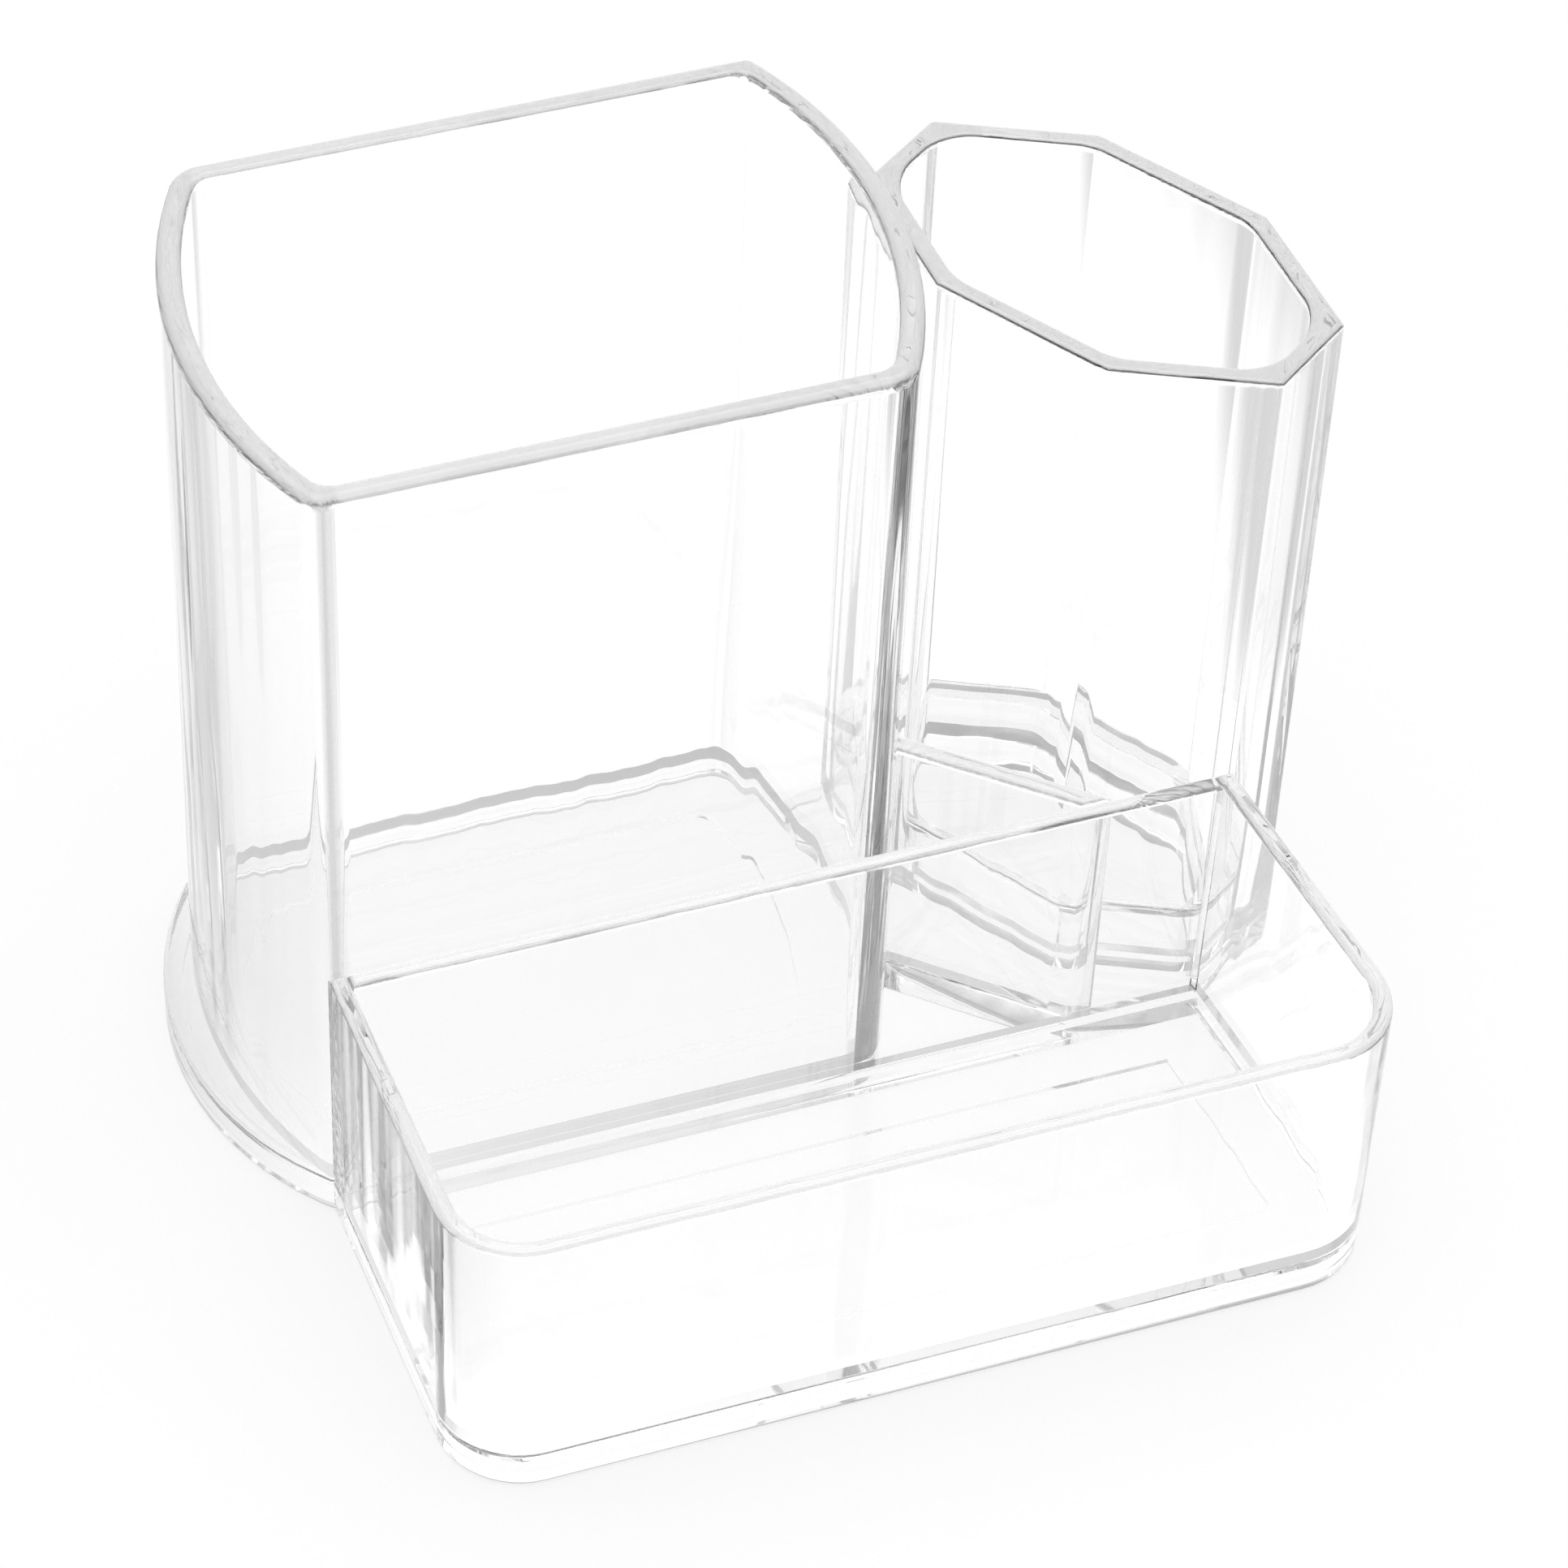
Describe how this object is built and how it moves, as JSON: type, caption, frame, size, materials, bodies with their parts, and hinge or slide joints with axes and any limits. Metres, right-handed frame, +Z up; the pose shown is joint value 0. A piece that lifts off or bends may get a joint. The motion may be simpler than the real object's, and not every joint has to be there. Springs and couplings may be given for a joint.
{
  "type": "makeup brush holder",
  "caption": "Clear plastic makeup brush holder: a tall cup with bowed ends, a shorter eight-sided cup and a low front tray, bonded on a shared base plate.",
  "frame": {"origin": "middle of the footprint's bounding box, on the table", "axes": "+Z up, +Y from the tray's front towards the back of the cups, +X towards the eight-sided cup"},
  "size_m": [0.1204, 0.092, 0.105],
  "materials": {
    "clear_plastic": "polished clear"
  },
  "bodies": {
    "root": {"base_plate": "clear_plastic", "large_cup": "clear_plastic", "octagonal_cup": "clear_plastic", "octagonal_cup_floor": "clear_plastic", "tray_wall": "clear_plastic", "tray_back_wall": "clear_plastic", "link_wall": "clear_plastic"}
  },
  "joints": []
}
